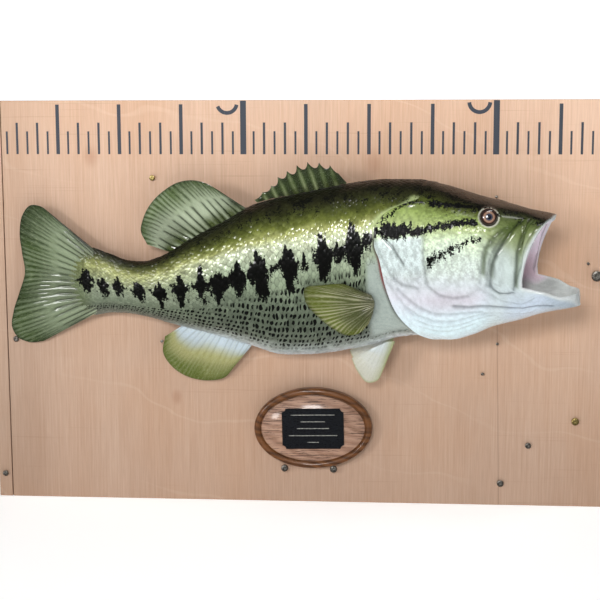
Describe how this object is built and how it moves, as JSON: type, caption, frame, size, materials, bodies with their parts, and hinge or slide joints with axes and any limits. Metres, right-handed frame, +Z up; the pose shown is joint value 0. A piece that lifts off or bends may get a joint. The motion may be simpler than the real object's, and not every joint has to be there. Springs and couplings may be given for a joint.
{
  "type": "mounted largemouth bass",
  "caption": "Skin-mount style largemouth bass, mouth open, on a plywood board with a ruler scale and an oval name plaque.",
  "frame": {"origin": "centre of the back face of the plywood board, where it rests on the wall", "axes": "+X along the board's long side towards the fish's snout, +Y into the wall, +Z up; the viewer stands at -Y"},
  "size_m": [0.76, 0.1517, 0.5],
  "materials": {
    "plywood": "pale pinkish tan plywood, satin, with a slate-blue painted ruler scale along its top",
    "oak": "varnished dark oak, turned, grain showing",
    "black_plate": "gloss black lacquered brass, bare of engraving",
    "screw_steel": "dull zinc steel",
    "screw_brass": "worn brass",
    "skin_olive": "painted scaled skin under clear gloss, olive back to a black blotch band and pale flank",
    "skin_white": "painted skin under clear gloss, blue-grey white",
    "fin_olive": "painted fin membrane with fine rays, olive green, glossy",
    "fin_pale": "painted fin membrane with fine rays, white to yellow-green, glossy",
    "eye": "clear glass over an amber-brown iris with a black pupil",
    "mouth": "wet-looking lilac pink"
  },
  "bodies": {
    "root": {"board": "plywood", "board_strip": "plywood", "plaque": "oak", "nameplate": "black_plate", "screw_brass_upper": "screw_brass", "screw_brass_right": "screw_brass", "screw_plaque_left": "screw_steel", "screw_plaque_right": "screw_steel", "screw_grey_bottom": "screw_steel", "screw_grey_lower": "screw_steel", "screw_tail": "screw_steel", "screw_corner": "screw_steel", "screw_washer": "screw_steel", "nail_brow": "screw_steel", "nail_throat": "screw_steel", "nail_black": "screw_steel", "nail_wire": "screw_steel", "nail_washer": "screw_steel", "tail_stalk": "skin_olive", "trunk_rear": "skin_olive", "trunk_front": "skin_olive", "head": "skin_olive", "upper_jaw": "skin_olive", "gill_cover_right": "skin_white", "gill_cover_left": "skin_white", "lower_jaw": "skin_white", "fin_tail": "fin_olive", "fin_back_soft": "fin_olive", "fin_back_spiny": "fin_olive", "fin_breast_right": "fin_olive", "fin_breast_left": "fin_olive", "fin_anal": "fin_pale", "fin_belly_right": "fin_pale", "fin_belly_left": "fin_pale", "eye_right": "eye", "eye_left": "eye", "tongue": "mouth"}
  },
  "joints": []
}
